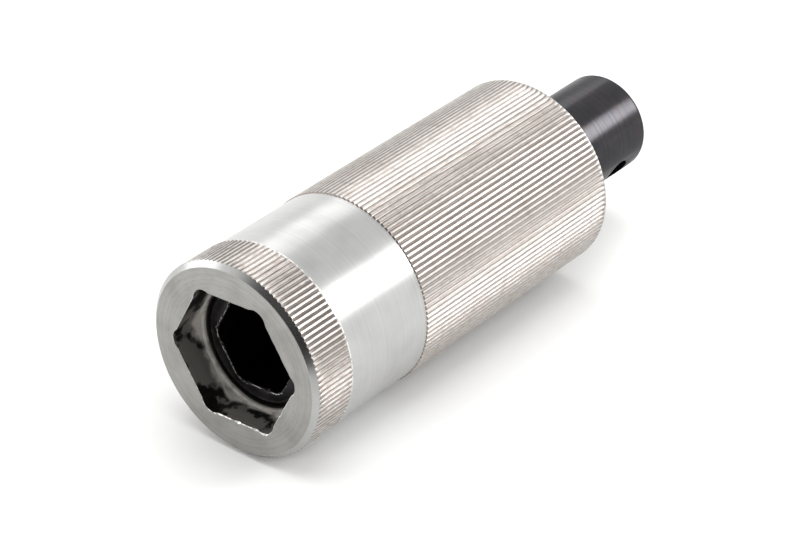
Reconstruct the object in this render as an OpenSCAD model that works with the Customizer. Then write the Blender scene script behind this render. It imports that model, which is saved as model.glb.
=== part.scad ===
// Hand-held socket adapter for expanding bolts. The knurled sleeve holds the bolt's hexagon
// collar still, while a sprung spindle inside it turns the bolt's head from a square drive.
// The tool lies on its side: +X runs along its axis from the mouth to the drive end, +Z is
// up, and the origin is the middle of the sleeve's front face.

/* [Sleeve] */
// Length of the knurled sleeve
sleeve_len = 83; // [78:0.5:110]
// Diameter over the knurl's tips
knurl_d = 37.5; // [36:0.1:46]
// Depth of the knurl's grooves below its tips
knurl_depth = 0.3; // [0.2:0.05:0.6]
// Number of teeth round the knurl
knurl_teeth = 118; // [60:1:140]
// Width of a tooth's flat tip
knurl_tip = 0.35; // [0.2:0.05:0.5]
// Distance from the front face to the end of the front knurl
front_knurl_len = 9.4; // [6:0.1:16]
// Length of the smooth band between the two knurls
band_len = 20.3; // [10:0.1:30]
// Diameter of the smooth band
band_d = 37; // [35.5:0.1:45]
// Chamfer round the front face
face_chamfer = 1; // [0.5:0.1:1.5]
// Chamfer round the rear end
rear_chamfer = 0.6; // [0.3:0.1:1.2]

/* [Mouth] */
// Across flats of the hexagon that holds the collar
collar_af = 24.2; // [22:0.1:26]
// Depth of the collar's hexagon
collar_depth = 5.4; // [4:0.1:8]
// Diameter that the corners of the collar's hexagon are cut to
collar_corner_d = 27; // [26.6:0.1:27.4]
// Diameter of the round relief in each corner of the collar's hexagon
relief_d = 4.9; // [3.5:0.1:5.5]
// Diameter of the circle that the corner reliefs lie on
relief_ring_d = 22.8; // [21.5:0.1:24]
// Turn of both hexagons from a flat that faces straight down, in degrees
hexagon_turn = -2.8; // [-30:0.1:30]
// Length of the tapered lead between the hexagon and the front bore
lead_len = 0.9; // [0.5:0.1:1.5]
// Diameter of the front bore behind the lead
front_bore_d = 23.7; // [23.5:0.1:25]
// Length of the front bore, from the lead to the shoulder
front_bore_len = 5.7; // [3:0.1:10]
// Diameter of the main bore behind the shoulder
main_bore_d = 26; // [25.8:0.1:28]

/* [Inner socket] */
// Outer diameter of the inner socket
socket_d = 22.8; // [22:0.1:22.9]
// Distance that the socket's face stands forward into the lead
socket_stand = 0.3; // [0:0.1:0.6]
// Chamfer round the socket's face
socket_chamfer = 1; // [0.5:0.1:1.4]
// Across flats of the hexagon that takes the bolt's head
bolt_af = 16.2; // [12.2:0.1:17.2]
// Diameter that the corners of the bolt's hexagon are cut to
bolt_corner_d = 17.8; // [17.6:0.1:19]
// Depth of the bolt's hexagon
bolt_depth = 12; // [7:0.5:14]
// Diameter of the drilled relief below the bolt's hexagon
bolt_relief_d = 13; // [8:0.5:16]
// Length of the drilled relief
bolt_relief_len = 3; // [1:0.5:5]
// Diameter of the flange that stops the socket
flange_d = 25.4; // [25:0.1:25.6]
// Thickness of the flange
flange_len = 4; // [2.5:0.5:6]
// Length of the hub behind the flange
hub_len = 15.5; // [12:0.5:20]

/* [Drive shaft] */
// Diameter of the shaft and of the socket's hub
shaft_d = 19.4; // [18:0.1:19.8]
// Length of shaft that stands out of the sleeve
shaft_reach = 25.7; // [15:0.1:40]
// Rounding of the shaft's rear edge
shaft_round = 1.2; // [0.5:0.1:2]
// Side of the square tang that enters the hub
tang_side = 11; // [9:0.1:12]
// Length of the tang
tang_len = 21; // [12:0.5:21]
// Side of the square drive recess
drive_side = 9.7; // [6.5:0.1:10]
// Depth of the square drive recess
drive_depth = 12; // [10:0.5:16]
// Width of the lead round the mouth of the square drive recess
drive_lead = 0.6; // [0.3:0.1:1]
// Diameter of the drilled relief below the square drive recess
drive_relief_d = 10.6; // [8:0.1:12]
// Length of the relief below the square drive recess
drive_relief_len = 2; // [1:0.5:4]
// Diameter of the hole across the shaft for the retaining pin
cross_hole_d = 5.5; // [3:0.1:6]
// Distance from the shaft's rear end to the middle of the cross hole
cross_hole_inset = 7.7; // [5:0.1:9]
// Turn of the cross hole and the drive square from straight down, in degrees
shaft_turn = -57.9; // [-90:0.1:90]
// Diameter of the pin through the hub and the tang
pin_d = 3; // [2:0.1:4]

/* [Bushes and washers] */
// Length of the front bush
front_bush_len = 13; // [8:0.5:18]
// Thickness of each thrust washer and spring seat
washer_t = 1.5; // [1:0.1:1.8]
// Chamfer on the edges of the bushes
bush_chamfer = 0.4; // [0.2:0.1:0.6]
// Thickness of the retaining ring
ring_t = 1.2; // [1:0.1:1.6]
// Radial width of the retaining ring at its back
ring_w = 2.4; // [1.8:0.1:2.6]
// Depth of the retaining ring's groove
groove_depth = 0.65; // [0.4:0.05:0.8]
// Distance from the rear end to the outer side of the retaining ring
ring_inset = 3.2; // [2:0.1:4]
// Diameter of the holes in the retaining ring's lugs
lug_hole_d = 1.5; // [1:0.1:1.6]

/* [Spring] */
// Diameter of the spring's wire
wire_d = 2; // [1.4:0.1:2.1]
// Number of coils, dead end coils included
spring_coils = 7.5; // [5:0.5:9]
// Distance that the spindle can be pushed back against the spring
spindle_travel = 6; // [3:0.5:9]
// Length that the spring could still give when it is pushed back all the way
spring_spare = 3.4; // [1:0.1:5]
// Gap between each dead end coil and the next coil
dead_coil_gap = 0.45; // [0.42:0.01:0.6]

/* [Fits] */
// Radial gap of the running fits
running_gap = 0.05; // [0.02:0.01:0.09]
// Gap between faces that bear on each other
face_gap = 0.05; // [0.02:0.01:0.1]
// Radial gap between parts that only pass each other
free_gap = 0.3; // [0.25:0.05:0.3]

/* [Hidden] */
$fn = 96;

cut_over = knurl_depth;

// Places along the tool, measured back from the sleeve's front face
lead_end = collar_depth + lead_len;
shoulder_at = lead_end + front_bore_len;
socket_face_at = lead_end - socket_stand;
front_bush_end = shoulder_at + front_bush_len;
front_ring_end = front_bush_end + washer_t;
flange_at = front_ring_end + face_gap;
hub_at = flange_at + flange_len;
hub_end = hub_at + hub_len;
thrust_washer_at = hub_at + face_gap;
front_seat_at = thrust_washer_at + washer_t;
spring_at = front_seat_at + washer_t + face_gap;
spring_len = (spring_coils + 1) * wire_d + spindle_travel + spring_spare;
rear_seat_at = spring_at + spring_len + face_gap;
rear_bush_at = rear_seat_at + washer_t;
ring_at = sleeve_len - ring_inset - ring_t;
rear_bush_len = ring_at - rear_bush_at;
shaft_at = hub_end + face_gap;
shaft_end = sleeve_len + shaft_reach;
tang_at = hub_end - tang_len;
pin_at = (hub_at + hub_end) / 2;
band_at = front_knurl_len;
rear_knurl_at = band_at + band_len;

// Knurl
tip_r = knurl_d / 2;
root_r = tip_r - knurl_depth;
tooth_angle = 360 / knurl_teeth;
tip_angle = knurl_tip / tip_r * 180 / PI;

// Spring
spring_mid_r = (shaft_d + main_bore_d) / 4;
dead_pitch = wire_d + dead_coil_gap;
live_coils = spring_coils - 2;
live_pitch = (spring_len - wire_d - 2 * dead_pitch) / live_coils;
wire_rings = 12;
wire_sides = 8;
wire_turn_count = spring_coils * wire_rings;

// Retaining ring
ring_outer_d = main_bore_d + 2 * groove_depth - 2 * face_gap;
ring_thin_share = 0.6;
lug_inner_r = shaft_d / 2 + 2 * free_gap;
lug_r = (ring_outer_d / 2 - lug_inner_r) / 2;
lug_mid_r = lug_inner_r + lug_r;
lug_half_angle = 14;

// Places its child, which is drawn along +Z from the front face, along the lying tool's axis
module along_tool(from_front = 0)
    translate([from_front, 0, 0])
        rotate([0, 90, 0])
            children();

// A hexagon with the given distance across its flats, one flat facing local +X
module hexagon(across_flats)
    rotate(30)
        circle(d = across_flats / cos(30), $fn = 6);

// A round plate or tube with chamfered outer and inner edges
module chamfered_tube(outer_d, inner_d, length, chamfer)
    rotate_extrude()
        polygon([
            [inner_d / 2, chamfer],
            [inner_d / 2 + chamfer, 0],
            [outer_d / 2 - chamfer, 0],
            [outer_d / 2, chamfer],
            [outer_d / 2, length - chamfer],
            [outer_d / 2 - chamfer, length],
            [inner_d / 2 + chamfer, length],
            [inner_d / 2, length - chamfer]
        ]);

// A flat washer
module washer(outer_d, inner_d, thickness)
    linear_extrude(thickness)
        difference() {
            circle(d = outer_d);
            circle(d = inner_d);
        }

// The outline of a straight knurl: V grooves between flat tips
module knurl_outline()
    polygon([
        for (tooth = [0 : knurl_teeth - 1])
            for (corner = [
                [tip_r, -tip_angle / 2],
                [tip_r, tip_angle / 2],
                [root_r, tooth_angle / 2]
            ])
                corner[0] * [
                    cos(tooth * tooth_angle + corner[1]),
                    sin(tooth * tooth_angle + corner[1])
                ]
    ]);

// The sleeve's outside, with its knurled grips and smooth band
module sleeve_outside()
    intersection() {
        union() {
            linear_extrude(band_at)
                knurl_outline();
            translate([0, 0, band_at])
                cylinder(d = band_d, h = band_len);
            translate([0, 0, rear_knurl_at])
                linear_extrude(sleeve_len - rear_knurl_at)
                    knurl_outline();
        }
        rotate_extrude()
            polygon([
                [0, 0],
                [tip_r - face_chamfer, 0],
                [tip_r + cut_over, face_chamfer + cut_over],
                [tip_r + cut_over, sleeve_len - rear_chamfer - cut_over],
                [tip_r - rear_chamfer, sleeve_len],
                [0, sleeve_len]
            ]);
    }

// The hexagon for the bolt's collar, with a round relief in each corner
module collar_recess()
    rotate(hexagon_turn)
        translate([0, 0, -cut_over])
            linear_extrude(collar_depth + cut_over)
                union() {
                    intersection() {
                        hexagon(collar_af);
                        circle(d = collar_corner_d);
                    }
                    for (corner = [0 : 5])
                        rotate(corner * 60 + 30)
                            translate([relief_ring_d / 2, 0])
                                circle(d = relief_d);
                }

// All round bores of the sleeve, with the groove for the retaining ring
module sleeve_bores()
    rotate_extrude()
        polygon([
            [0, -cut_over],
            [collar_af / 2, -cut_over],
            [collar_af / 2, collar_depth],
            [front_bore_d / 2, lead_end],
            [front_bore_d / 2, shoulder_at],
            [main_bore_d / 2, shoulder_at],
            [main_bore_d / 2, ring_at - face_gap],
            [main_bore_d / 2 + groove_depth, ring_at - face_gap],
            [main_bore_d / 2 + groove_depth, ring_at + ring_t + face_gap],
            [main_bore_d / 2, ring_at + ring_t + face_gap],
            [main_bore_d / 2, sleeve_len - rear_chamfer],
            [main_bore_d / 2 + rear_chamfer, sleeve_len],
            [main_bore_d / 2 + rear_chamfer, sleeve_len + cut_over],
            [0, sleeve_len + cut_over]
        ]);

module outer_sleeve()
    color("silver")
        along_tool()
            difference() {
                sleeve_outside();
                collar_recess();
                sleeve_bores();
            }

module front_bush()
    color("darkgoldenrod")
        along_tool(shoulder_at)
            chamfered_tube(main_bore_d, socket_d + 2 * running_gap, front_bush_len, bush_chamfer);

module front_thrust_ring()
    color("goldenrod")
        along_tool(front_bush_end)
            washer(main_bore_d, socket_d + 2 * free_gap, washer_t);

// The bolt's hexagon, its drilled relief and the square hole for the tang
module socket_recesses() {
    rotate(hexagon_turn)
        translate([0, 0, socket_face_at - cut_over])
            linear_extrude(bolt_depth + cut_over)
                intersection() {
                    hexagon(bolt_af);
                    circle(d = bolt_corner_d);
                }
    translate([0, 0, socket_face_at])
        cylinder(d = bolt_relief_d, h = bolt_depth + bolt_relief_len);
    translate([0, 0, tang_at - face_gap])
        linear_extrude(tang_len + face_gap + cut_over)
            square(tang_side + 2 * running_gap, center = true);
}

// The round hole through the hub and the tang, drawn along local X
module pin_bore(diameter)
    translate([-shaft_d / 2 - cut_over, 0, pin_at])
        rotate([0, 90, 0])
            cylinder(d = diameter, h = shaft_d + 2 * cut_over);

module inner_socket()
    color("dimgray")
        along_tool()
            difference() {
                rotate_extrude()
                    polygon([
                        [0, socket_face_at],
                        [socket_d / 2 - socket_chamfer, socket_face_at],
                        [socket_d / 2, socket_face_at + socket_chamfer],
                        [socket_d / 2, flange_at],
                        [flange_d / 2, flange_at],
                        [flange_d / 2, hub_at],
                        [shaft_d / 2, hub_at],
                        [shaft_d / 2, hub_end],
                        [0, hub_end]
                    ]);
                socket_recesses();
                pin_bore(pin_d + 2 * running_gap);
            }

// The shaft's body, its rear edge rounded, with the square tang in front
module shaft_outside() {
    translate([0, 0, shaft_at])
        rotate_extrude()
            difference() {
                square([shaft_d / 2, shaft_end - shaft_at]);
                translate([shaft_d / 2 - shaft_round, shaft_end - shaft_at - shaft_round])
                    difference() {
                        square(shaft_round + cut_over);
                        circle(r = shaft_round);
                    }
            }
    translate([0, 0, tang_at])
        linear_extrude(tang_len + 2 * face_gap)
            square(tang_side, center = true);
}

// The square drive recess with its lead and relief, and the cross hole through its walls
module drive_recess() {
    translate([0, 0, shaft_end - drive_depth])
        linear_extrude(drive_depth + cut_over)
            square(drive_side, center = true);
    translate([0, 0, shaft_end - drive_depth - drive_relief_len])
        cylinder(d = drive_relief_d, h = drive_relief_len);
    translate([0, 0, shaft_end - drive_lead])
        cylinder(d1 = drive_side, d2 = drive_side + 4 * drive_lead, h = 2 * drive_lead);
    translate([-shaft_d / 2 - cut_over, 0, shaft_end - cross_hole_inset])
        rotate([0, 90, 0])
            cylinder(d = cross_hole_d, h = shaft_d + 2 * cut_over);
}

module drive_shaft()
    color("#26262a")
        along_tool()
            difference() {
                shaft_outside();
                rotate(shaft_turn)
                    drive_recess();
                pin_bore(pin_d + 2 * running_gap);
            }

module coupling_pin()
    color("darkgray")
        along_tool(pin_at)
            rotate([0, 90, 0])
                cylinder(d = pin_d, h = shaft_d - 2 * free_gap, center = true);

module thrust_washer()
    color("goldenrod")
        along_tool(thrust_washer_at)
            washer(flange_d, shaft_d + 2 * free_gap, washer_t);

module front_spring_seat()
    color("gray")
        along_tool(front_seat_at)
            washer(flange_d, shaft_d + 2 * free_gap, washer_t);

// Height of the wire's middle after a number of coils, with a dead coil at each end
function wire_height(coils) =
    wire_d / 2
    + min(coils, 1) * dead_pitch
    + min(max(coils - 1, 0), live_coils) * live_pitch
    + max(coils - 1 - live_coils, 0) * dead_pitch;

// Middle of the wire at one ring of the helix
function wire_middle(step) = [
    spring_mid_r * cos(step * 360 / wire_rings),
    spring_mid_r * sin(step * 360 / wire_rings),
    wire_height(step / wire_rings)
];

// Corners of the wire's section at one ring
function wire_ring(step) = [
    for (side = [0 : wire_sides - 1])
        let (turn = step * 360 / wire_rings, around = side * 360 / wire_sides)
            wire_middle(step) + wire_d / 2 * [
                cos(around) * cos(turn),
                cos(around) * sin(turn),
                sin(around)
            ]
];

// Least gap between the wire and its next coil, measured on the rings' middles
least_coil_gap = min([
    for (step = [0 : wire_turn_count - wire_rings])
        norm(wire_middle(step + wire_rings) - wire_middle(step)) - wire_d
]);
echo(least_coil_gap = least_coil_gap);

module compression_spring()
    color("lightsteelblue")
        along_tool(spring_at)
            polyhedron(
                points = [for (step = [0 : wire_turn_count]) each wire_ring(step)],
                faces = [
                    [for (side = [0 : wire_sides - 1]) side],
                    for (step = [0 : wire_turn_count - 1])
                        for (side = [0 : wire_sides - 1])
                            let (
                                here = step * wire_sides + side,
                                beside = step * wire_sides + (side + 1) % wire_sides
                            )
                                each [
                                    [here, here + wire_sides, beside],
                                    [beside, here + wire_sides, beside + wire_sides]
                                ],
                    [for (side = [wire_sides - 1 : -1 : 0]) wire_turn_count * wire_sides + side]
                ]
            );

module rear_spring_seat()
    color("gray")
        along_tool(rear_seat_at)
            washer(main_bore_d, shaft_d + 2 * free_gap, washer_t);

module rear_bush()
    color("darkgoldenrod")
        along_tool(rear_bush_at)
            chamfered_tube(main_bore_d, shaft_d + 2 * running_gap, rear_bush_len, bush_chamfer);

// An open spring ring with two drilled lugs, its gap facing up
module retaining_ring()
    color("darkgray")
        along_tool(ring_at)
            linear_extrude(ring_t)
                difference() {
                    union() {
                        difference() {
                            circle(d = ring_outer_d);
                            translate([ring_w * (1 - ring_thin_share) / 2, 0])
                                circle(d = ring_outer_d - ring_w * (1 + ring_thin_share));
                            polygon([
                                [0, 0],
                                ring_outer_d * [-cos(lug_half_angle), -sin(lug_half_angle)],
                                ring_outer_d * [-cos(lug_half_angle), sin(lug_half_angle)]
                            ]);
                        }
                        for (side = [-1, 1])
                            rotate(180 + side * lug_half_angle)
                                translate([lug_mid_r, 0])
                                    circle(r = lug_r);
                    }
                    for (side = [-1, 1])
                        rotate(180 + side * lug_half_angle)
                            translate([lug_mid_r, 0])
                                circle(d = lug_hole_d);
                }

outer_sleeve();
front_bush();
front_thrust_ring();
inner_socket();
drive_shaft();
coupling_pin();
thrust_washer();
front_spring_seat();
compression_spring();
rear_spring_seat();
rear_bush();
retaining_ring();
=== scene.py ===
"""Looks of the socket adapter: a knurled steel sleeve over a sprung, blackened spindle.

Sizes are in millimetres and angles in degrees. The tool lies along +X, with its mouth at the origin and +Z up.
Angles round the tool are counted from straight down towards +Y.
"""

import logging
import math
from collections.abc import Callable
from dataclasses import dataclass, field, replace
from enum import Enum, IntEnum

import bmesh
import bpy
from mathutils import Matrix, Vector, noise


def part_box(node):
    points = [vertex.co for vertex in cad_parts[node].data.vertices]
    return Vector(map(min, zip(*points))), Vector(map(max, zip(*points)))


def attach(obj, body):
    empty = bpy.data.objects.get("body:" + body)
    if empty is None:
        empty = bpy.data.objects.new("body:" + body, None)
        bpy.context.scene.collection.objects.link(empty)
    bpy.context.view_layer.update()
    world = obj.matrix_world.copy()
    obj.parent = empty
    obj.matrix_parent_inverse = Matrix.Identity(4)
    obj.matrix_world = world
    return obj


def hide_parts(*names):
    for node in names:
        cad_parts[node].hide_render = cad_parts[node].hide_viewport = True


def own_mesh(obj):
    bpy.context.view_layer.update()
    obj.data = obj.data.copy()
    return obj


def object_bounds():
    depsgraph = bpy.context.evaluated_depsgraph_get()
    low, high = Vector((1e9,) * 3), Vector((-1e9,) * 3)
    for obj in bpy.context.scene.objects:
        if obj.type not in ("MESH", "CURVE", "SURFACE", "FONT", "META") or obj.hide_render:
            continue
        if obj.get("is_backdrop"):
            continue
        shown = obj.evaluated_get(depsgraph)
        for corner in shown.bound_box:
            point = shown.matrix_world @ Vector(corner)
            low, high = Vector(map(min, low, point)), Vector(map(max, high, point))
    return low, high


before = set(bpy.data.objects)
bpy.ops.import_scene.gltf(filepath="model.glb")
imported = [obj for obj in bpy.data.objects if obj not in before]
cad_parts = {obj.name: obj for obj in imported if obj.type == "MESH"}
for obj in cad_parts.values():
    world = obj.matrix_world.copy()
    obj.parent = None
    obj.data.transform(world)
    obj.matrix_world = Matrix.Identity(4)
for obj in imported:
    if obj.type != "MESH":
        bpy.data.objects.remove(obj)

LOG = logging.getLogger("socket_adapter")
MM = 0.001
WELD_MM = 0.0005
QUARTER_TURN = 0.25
TURNED_STEPS = 160
Colour = tuple[float, float, float, float]
Place = tuple[float, float]
Span = tuple[float, float]
Ring = Callable[[int], Place]
Tree = bpy.types.NodeTree
Node = bpy.types.Node
Output = bpy.types.NodeSocket
Mesh = bmesh.types.BMesh
Piece = bpy.types.Object


def linear(code: str) -> Colour:
    """Turns an sRGB hex colour into Blender's linear colour.

    Args:
        code: six hex digits, with or without a leading hash.

    Returns:
        Linear red, green and blue, and an alpha of one.
    """
    digits = code.lstrip("#")
    shares = [int(digits[at : at + 2], 16) / 255 for at in (0, 2, 4)]
    red, green, blue = (v / 12.92 if v <= 0.04045 else ((v + 0.055) / 1.055) ** 2.4 for v in shares)
    return red, green, blue, 1.0


def add(tree: Tree, kind: str, inputs: dict | None = None, **settings: object) -> Node:
    """Adds one node with its settings and its links.

    Args:
        tree: node tree that the node goes into.
        kind: Blender's name for the kind of node.
        inputs: for each input, by name or number, a value, an output, or a node whose first output is meant.
        **settings: the node's own settings.

    Returns:
        The new node.
    """
    node = tree.nodes.new(kind)
    for name, value in settings.items():
        setattr(node, name, value)
    for name, value in (inputs or {}).items():
        given = value.outputs[0] if isinstance(value, Node) else value
        if isinstance(given, Output):
            tree.links.new(given, node.inputs[name])
        else:
            node.inputs[name].default_value = given
    return node


def lerp(low: float, high: float, share: float) -> float:
    """Gives the value at a share of the way from low to high."""
    return low + (high - low) * share


@dataclass(frozen=True)
class ToolPoint:
    """What a material's patterns follow: the place, the way along the tool, and the radius and turn round its axis."""

    tree: Tree
    place: Output
    along: Output
    radius: Output
    turn: Output

    @classmethod
    def read(cls, tree: Tree) -> "ToolPoint":
        """Reads the coordinates inside a material.

        Args:
            tree: the material's node tree.

        Returns:
            The coordinates, in metres, and the turn in radians.
        """
        place = add(tree, "ShaderNodeTexCoord").outputs["Object"]
        parts = add(tree, "ShaderNodeSeparateXYZ", {0: place}).outputs
        across = add(tree, "ShaderNodeCombineXYZ", {"Y": parts["Y"], "Z": parts["Z"]})
        length = add(tree, "ShaderNodeVectorMath", {0: across}, operation="LENGTH").outputs["Value"]
        turn = add(tree, "ShaderNodeMath", {0: parts["Y"], 1: parts["Z"]}, operation="ARCTAN2").outputs[0]
        return cls(tree, place, parts["X"], length, turn)


class Marks(Enum):
    """The way that a tool's marks run over a surface."""

    AROUND = "around"
    CONCENTRIC = "concentric"
    NONE = "none"


def darkened(tree: Tree, tone: Output, share: Output | Node, shade: float) -> Output:
    """Darkens a colour where a share is high.

    Args:
        tree: the material's node tree.
        tone: the colour.
        share: nought where it stays and one where it is darkest.
        shade: how much of its light the darkest place loses.

    Returns:
        The changed colour.
    """
    kept = add(tree, "ShaderNodeMapRange", {"Value": share, "To Min": 1.0, "To Max": 1 - shade})
    return add(tree, "ShaderNodeVectorMath", {0: tone, "Scale": kept}, operation="SCALE").outputs["Vector"]


@dataclass(frozen=True)
class Finish:
    """A metal surface, with patches of a second tone and marks of the tool that made it.

    The marks are sets of fine grooves, and the render shows them as a soft streak of light across the grooves.
    The real grooves are finer than a pixel, so they are drawn two to five times as coarse, and a little darker.
    """

    label: str
    tone: str
    patch_tone: str
    roughness: float
    patch_roughness: float
    patch_mm: float = 6.0
    patch_edge: Span = (0.35, 0.75)
    marks: Marks = Marks.NONE
    mark_mm: float = 0.25
    mark_depth_mm: float = 0.002
    mark_shade: float = 0.0
    nick_shade: float = 0.0
    nick_mm: Span = (1.6, 0.22)
    nick_edge: Span = (0.6, 0.74)
    nick_radius_mm: float = 15.0
    grain_mm: float = 0.12
    grain_depth_mm: float = 0.001
    stretch: float = 0.0
    metal: float = 1.0
    grazing_tint: str = "#ffffff"

    def material(self) -> bpy.types.Material:
        """Gives this finish's material, which is made only once.

        Returns:
            The material.
        """
        made = bpy.data.materials.get(self.label)
        if made is None:
            made = bpy.data.materials.new(self.label)
            made.use_nodes = True
            made.node_tree.nodes.clear()
            self.paint(ToolPoint.read(made.node_tree))
        return made

    def paint(self, point: ToolPoint) -> None:
        """Builds the material's nodes.

        Args:
            point: the coordinates, in the material's otherwise empty node tree.
        """
        patches = self.patches(point)
        tones = {"Factor": patches, "A": linear(self.tone), "B": linear(self.patch_tone)}
        tone = add(point.tree, "ShaderNodeMix", tones, data_type="RGBA").outputs[2]
        shader = self.shader(point.tree, self.tint(point, tone), self.polish(point, patches))
        point.tree.links.new(self.relief(point).outputs[0], shader.inputs["Normal"])

    def patches(self, point: ToolPoint) -> Node:
        """Gives the share of the second tone at each place.

        Args:
            point: the coordinates that the patches follow.

        Returns:
            The node that gives the share.
        """
        size = {"Vector": point.place, "Scale": 1 / (self.patch_mm * MM), "Detail": 4.0}
        low, high = self.patch_edge
        border = {"Value": add(point.tree, "ShaderNodeTexNoise", size), "From Min": low, "From Max": high}
        return add(point.tree, "ShaderNodeMapRange", border, interpolation_type="SMOOTHSTEP")

    def across(self, point: ToolPoint, width_mm: float) -> Node:
        """Counts widths across the tool's marks: along the tool, or outwards where the marks are rings on a face."""
        way = point.along if self.marks is Marks.AROUND else point.radius
        return add(point.tree, "ShaderNodeMath", {0: way, 1: 1 / (width_mm * MM)}, operation="MULTIPLY")

    def lines(self, point: ToolPoint) -> Node:
        """Gives the height of the tool's marks, which change only across the grooves."""
        count = {"W": self.across(point, self.mark_mm), "Scale": 1.0, "Detail": 3.0}
        return add(point.tree, "ShaderNodeTexNoise", count, noise_dimensions="1D")

    def nicks(self, point: ToolPoint) -> Node:
        """Gives short arcs that follow the marks, such as handling leaves.

        Args:
            point: the coordinates that the arcs follow.

        Returns:
            The node that gives one on the arcs.
        """
        long, short = self.nick_mm
        low, high = self.nick_edge
        arc = add(point.tree, "ShaderNodeMath", {0: point.turn, 1: self.nick_radius_mm / long}, operation="MULTIPLY")
        place = add(point.tree, "ShaderNodeCombineXYZ", {"X": arc, "Y": self.across(point, short)})
        cloud = add(point.tree, "ShaderNodeTexNoise", {"Vector": place, "Scale": 1.0, "Detail": 1.0})
        return add(point.tree, "ShaderNodeMapRange", {"Value": cloud, "From Min": low, "From Max": high})

    def tint(self, point: ToolPoint, tone: Output) -> Output:
        """Gives the colour, darker in the tool's marks and in the nicks.

        Args:
            point: the coordinates.
            tone: the colour of the clean surface.

        Returns:
            The changed colour.
        """
        if self.mark_shade:
            tone = darkened(point.tree, tone, self.lines(point), self.mark_shade)
        if self.nick_shade:
            tone = darkened(point.tree, tone, self.nicks(point), self.nick_shade)
        return tone

    def polish(self, point: ToolPoint, patches: Node) -> Node:
        """Gives the roughness at each place."""
        ends = {"Value": patches, "To Min": self.roughness, "To Max": self.patch_roughness}
        return add(point.tree, "ShaderNodeMapRange", ends)

    def relief(self, point: ToolPoint) -> Node:
        """Gives the surface's direction, bent by its grain and by the tool's marks.

        Args:
            point: the coordinates that the marks follow.

        Returns:
            The node that gives the bent normal.
        """
        size = {"Vector": point.place, "Scale": 1 / (self.grain_mm * MM), "Detail": 2.0}
        grain = {"Height": add(point.tree, "ShaderNodeTexNoise", size), "Distance": self.grain_depth_mm * MM}
        bumped = add(point.tree, "ShaderNodeBump", grain)
        if self.marks is Marks.NONE:
            return bumped
        grooves = {"Height": self.lines(point), "Distance": self.mark_depth_mm * MM, "Normal": bumped}
        return add(point.tree, "ShaderNodeBump", grooves)

    def shader(self, tree: Tree, tone: Output, roughness: Node) -> Node:
        """Adds the metal shader and the material's output.

        Args:
            tree: the material's node tree.
            tone: the colour.
            roughness: the node that gives the roughness.

        Returns:
            The shader node, whose normal is still free.
        """
        inputs = {
            "Base Color": tone,
            "Roughness": roughness,
            "Metallic": self.metal,
            "Specular Tint": linear(self.grazing_tint),
        }
        if self.stretch and self.marks is Marks.AROUND:
            turned = add(tree, "ShaderNodeTangent", direction_type="RADIAL", axis="X")
            inputs |= {"Anisotropic": self.stretch, "Anisotropic Rotation": QUARTER_TURN, "Tangent": turned}
        made = add(tree, "ShaderNodeBsdfPrincipled", inputs)
        add(tree, "ShaderNodeOutputMaterial", {"Surface": made})
        return made


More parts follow.
